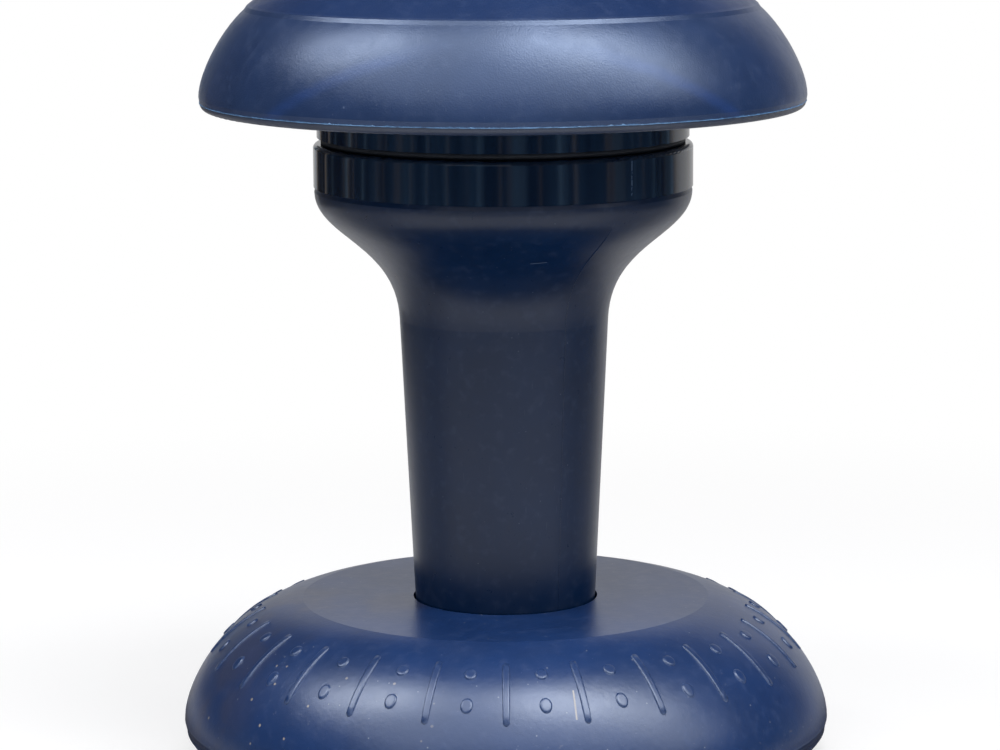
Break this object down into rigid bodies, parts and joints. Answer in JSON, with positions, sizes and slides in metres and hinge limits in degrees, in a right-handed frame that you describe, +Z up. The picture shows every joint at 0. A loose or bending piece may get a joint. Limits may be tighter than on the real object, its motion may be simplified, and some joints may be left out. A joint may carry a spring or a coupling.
{
  "type": "wobble stool",
  "caption": "Wobble stool: a domed seat and a domed base with a convex rocking underside, twist-locked to the two ends of a flared hollow column.",
  "frame": {"origin": "on the floor, under the middle of the base, at the flat middle of the rocking underside", "axes": "+Z up along the column's axis, which is the symmetry axis; +Y away from the picture's viewer, +X to the right"},
  "size_m": [0.3654, 0.3654, 0.475],
  "materials": {
    "outsole_rubber": "dull black-blue rubber",
    "base_plastic": "satin royal blue moulded plastic, scuffed",
    "inner_plastic": "dark moulded plastic, unseen in use",
    "column_plastic": "satin navy moulded plastic",
    "coupler_gloss": "glossy near-black navy moulded plastic",
    "seat_plastic": "satin royal blue moulded plastic, scuffed at the rim",
    "screw_steel": "zinc-plated self-tapping screws"
  },
  "bodies": {
    "base": {"outsole": "outsole_rubber", "rocker_plate": "base_plastic", "base_screws": "screw_steel", "base_shell": "base_plastic", "base_socket": "inner_plastic", "socket_screws": "screw_steel"},
    "column": {"column_shell": "column_plastic", "column_foot": "inner_plastic", "foot_screws": "screw_steel", "coupler_ring": "coupler_gloss", "coupler_screws": "screw_steel"},
    "seat": {"seat_collar": "coupler_gloss", "collar_screws": "screw_steel", "seat_pan": "seat_plastic", "seat_shell": "seat_plastic"}
  },
  "joints": [
    {"name": "column_twist", "type": "hinge", "parent": "base", "child": "column", "pos_m": [0, 0, 0.0907], "axis": [0, 0, 1], "range_deg": [0, 70]},
    {"name": "seat_twist", "type": "hinge", "parent": "column", "child": "seat", "pos_m": [0, 0, 0.3488], "axis": [0, 0, 1], "range_deg": [0, 70]}
  ]
}
